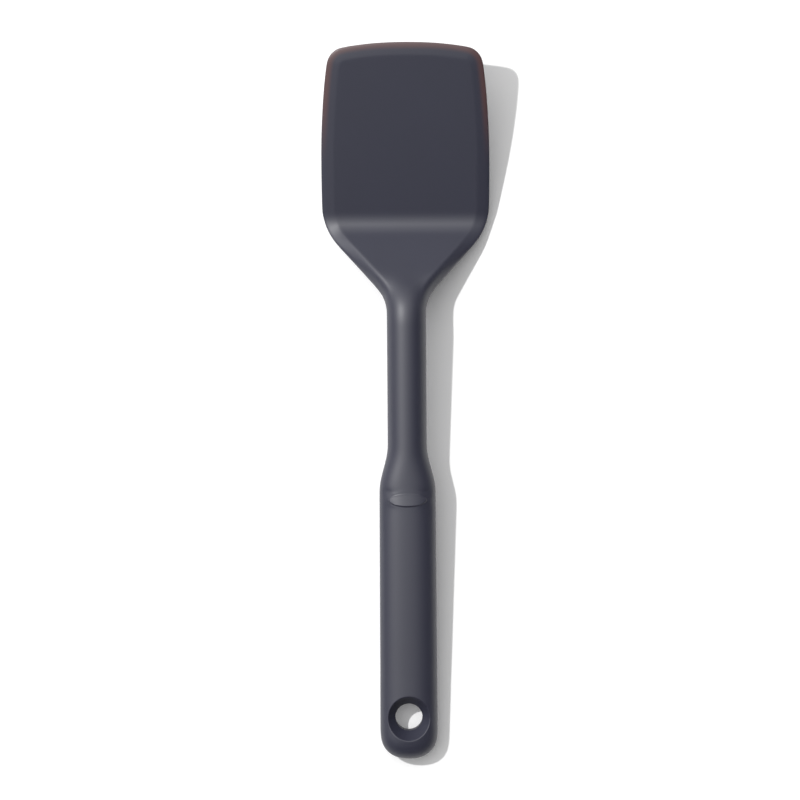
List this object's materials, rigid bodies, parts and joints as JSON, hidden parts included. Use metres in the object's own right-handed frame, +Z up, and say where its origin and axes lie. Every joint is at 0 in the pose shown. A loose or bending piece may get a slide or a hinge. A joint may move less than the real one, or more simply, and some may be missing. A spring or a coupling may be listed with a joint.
{
  "type": "silicone spatula",
  "caption": "One-piece silicone offset turner with a wide bevelled blade, slim neck, oval handle and a countersunk hanging hole, moulded over a steel and nylon core.",
  "frame": {"origin": "centre of the bounding box's bottom face, on the table the spatula rests on", "axes": "+Y from the handle's end to the blade's tip, +Z up from the table, +X to the right seen from above"},
  "size_m": [0.078, 0.3304, 0.0348],
  "materials": {
    "silicone": "matt moulded silicone, dark grey-blue",
    "spring_steel": "rolled stainless sheet",
    "steel_rod": "drawn stainless wire",
    "nylon": "glass-filled nylon, moulded",
    "zinc_screw": "zinc plated"
  },
  "bodies": {
    "root": {"silicone_skin": "silicone", "blade_plate": "spring_steel", "core_rod": "steel_rod", "plate_rivets": "steel_rod", "handle_core_upper": "nylon", "handle_core_lower": "nylon", "core_screws": "zinc_screw", "rod_cross_pin": "steel_rod"}
  },
  "joints": []
}
